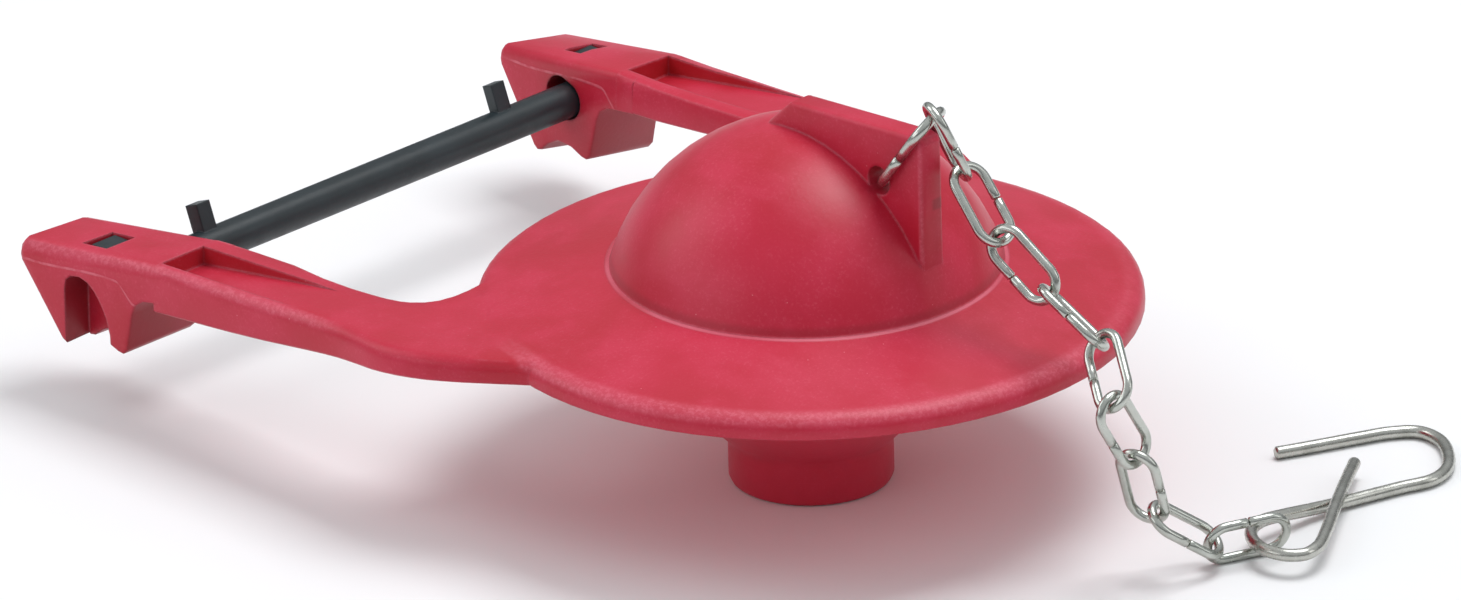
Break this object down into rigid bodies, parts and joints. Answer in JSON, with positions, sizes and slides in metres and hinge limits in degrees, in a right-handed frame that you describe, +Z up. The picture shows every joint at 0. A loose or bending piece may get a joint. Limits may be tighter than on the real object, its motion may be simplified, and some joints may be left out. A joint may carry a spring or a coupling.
{
  "type": "toilet flapper",
  "caption": "Rubber cistern flush valve flapper with a hollow dome, two hinge arms, a cross bar and a lift chain with a wire hook.",
  "frame": {"origin": "centre of the sealing disc, level with the top of its rim", "axes": "+Z up along the disc's axis, from the neck to the dome; the cross bar runs along Y at the -X side; the chain leaves the fin towards +X"},
  "size_m": [0.1865, 0.1251, 0.0658],
  "materials": {
    "rubber": "satin moulded rubber, red, slightly dusty",
    "bar_plastic": "satin moulded plastic, blue-black",
    "chain_steel": "polished stainless wire",
    "hook_steel": "satin stainless wire"
  },
  "bodies": {
    "flapper": {"flapper_body": "rubber", "crossbar": "bar_plastic"},
    "link_01": {"chain_link_01": "chain_steel"},
    "link_02": {"chain_link_02": "chain_steel"},
    "link_03": {"chain_link_03": "chain_steel"},
    "link_04": {"chain_link_04": "chain_steel"},
    "link_05": {"chain_link_05": "chain_steel"},
    "link_06": {"chain_link_06": "chain_steel"},
    "link_07": {"chain_link_07": "chain_steel"},
    "link_08": {"chain_link_08": "chain_steel"},
    "link_09": {"chain_link_09": "chain_steel"},
    "link_10": {"chain_link_10": "chain_steel"},
    "hook": {"lever_hook": "hook_steel"}
  },
  "joints": [
    {"name": "fin_hole_swing", "type": "hinge", "parent": "flapper", "child": "link_01", "pos_m": [0.0172, 0, 0.0224], "axis": [0, 1, 0], "range_deg": [-18, 2]},
    {"name": "link_02_swing", "type": "hinge", "parent": "link_01", "child": "link_02", "pos_m": [0.02602, 0.00051, 0.03402], "axis": [0.3567, 0.8426, 0.4036], "range_deg": [-5, 4]},
    {"name": "link_03_swing", "type": "hinge", "parent": "link_02", "child": "link_03", "pos_m": [0.02942, 0.00356, 0.02464], "axis": [-0.7408, 0.0442, -0.6702], "range_deg": [-40, 40]},
    {"name": "link_04_swing", "type": "hinge", "parent": "link_03", "child": "link_04", "pos_m": [0.03659, 0.00332, 0.0167], "axis": [0.2244, -0.9641, 0.1422], "range_deg": [-12, 40]},
    {"name": "link_05_swing", "type": "hinge", "parent": "link_04", "child": "link_05", "pos_m": [0.04515, 0.00438, 0.01036], "axis": [0.3556, 0.6038, 0.7134], "range_deg": [-40, 40]},
    {"name": "link_06_swing", "type": "hinge", "parent": "link_05", "child": "link_06", "pos_m": [0.05438, 0.00509, 0.00516], "axis": [0.1173, 0.8257, -0.5517], "range_deg": [-40, 40]},
    {"name": "link_07_swing", "type": "hinge", "parent": "link_06", "child": "link_07", "pos_m": [0.06113, -0.00003, -0.00108], "axis": [-0.9962, -0.0313, -0.0813], "range_deg": [-40, 40]},
    {"name": "link_08_swing", "type": "hinge", "parent": "link_07", "child": "link_08", "pos_m": [0.06178, 0.00431, -0.01069], "axis": [0.2601, -0.907, -0.3312], "range_deg": [-40, 40]},
    {"name": "link_09_swing", "type": "hinge", "parent": "link_08", "child": "link_09", "pos_m": [0.0629, 0.00806, -0.02008], "axis": [0.5982, 0.3021, 0.7422], "range_deg": [-40, 36]},
    {"name": "link_10_swing", "type": "hinge", "parent": "link_09", "child": "link_10", "pos_m": [0.06618, 0.01627, -0.02606], "axis": [-0.9057, 0.3511, 0.2376], "range_deg": [-40, 40]},
    {"name": "hook_swing", "type": "hinge", "parent": "link_10", "child": "hook", "pos_m": [0.0695, 0.02585, -0.02755], "axis": [-0.2131, 0.1074, -0.9711], "range_deg": [-40, 40]}
  ]
}
